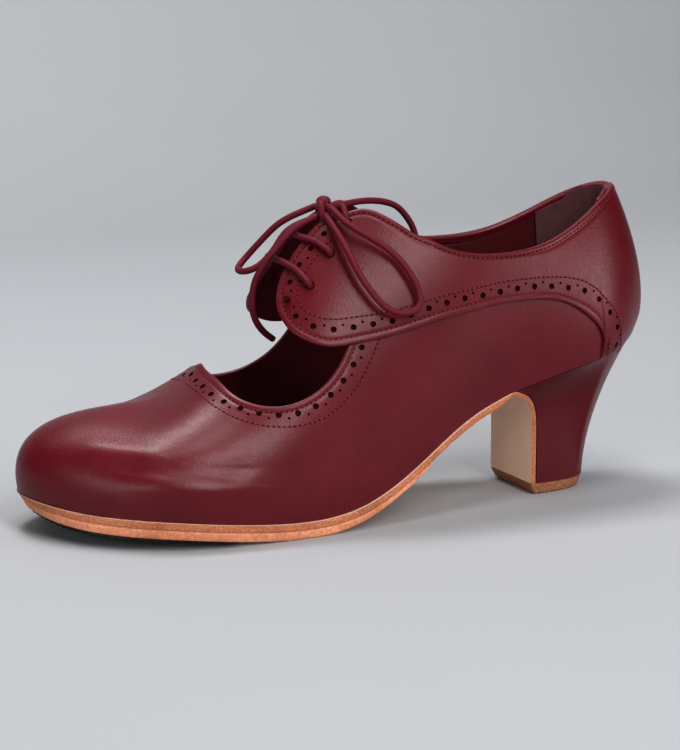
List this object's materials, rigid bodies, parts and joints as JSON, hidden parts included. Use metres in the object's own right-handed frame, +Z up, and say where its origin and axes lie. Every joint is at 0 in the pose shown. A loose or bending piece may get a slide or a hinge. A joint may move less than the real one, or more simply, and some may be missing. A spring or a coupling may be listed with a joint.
{
  "type": "flamenco shoe",
  "caption": "Left flamenco dance shoe in burgundy leather: low cut-out vamp, laced quarter flaps with punched edges, tan leather sole and a covered spool heel.",
  "frame": {"origin": "on the floor, under the middle of the shoe's bounding box measured without the bow", "axes": "+X from the heel to the toe, +Y to the outer side of the foot, +Z up"},
  "size_m": [0.2432, 0.082, 0.1158],
  "materials": {
    "burgundy_leather": "smooth satin calf, fine grain, folded edges",
    "heel_cover_leather": "smooth satin calf stretched over the heel block",
    "insole_leather": "matt lining leather",
    "sole_leather": "raw cut sole leather, waxed edge",
    "lift_leather": "raw cut leather, rough edge",
    "toe_nails": "dark close-set nail heads",
    "lace_cotton": "round waxed cotton braid"
  },
  "bodies": {
    "root": {"upper": "burgundy_leather", "insole": "insole_leather", "outsole": "sole_leather", "half_sole": "sole_leather", "toe_plate": "toe_nails", "heel_block": "heel_cover_leather", "top_lift": "lift_leather", "lace_bar_lower": "lace_cotton", "lace_bar_middle": "lace_cotton", "lace_bar_upper": "lace_cotton", "bow_knot": "lace_cotton", "bow_loop_outer": "lace_cotton", "bow_loop_front": "lace_cotton", "bow_end_front": "lace_cotton", "bow_end_inner": "lace_cotton"}
  },
  "joints": []
}
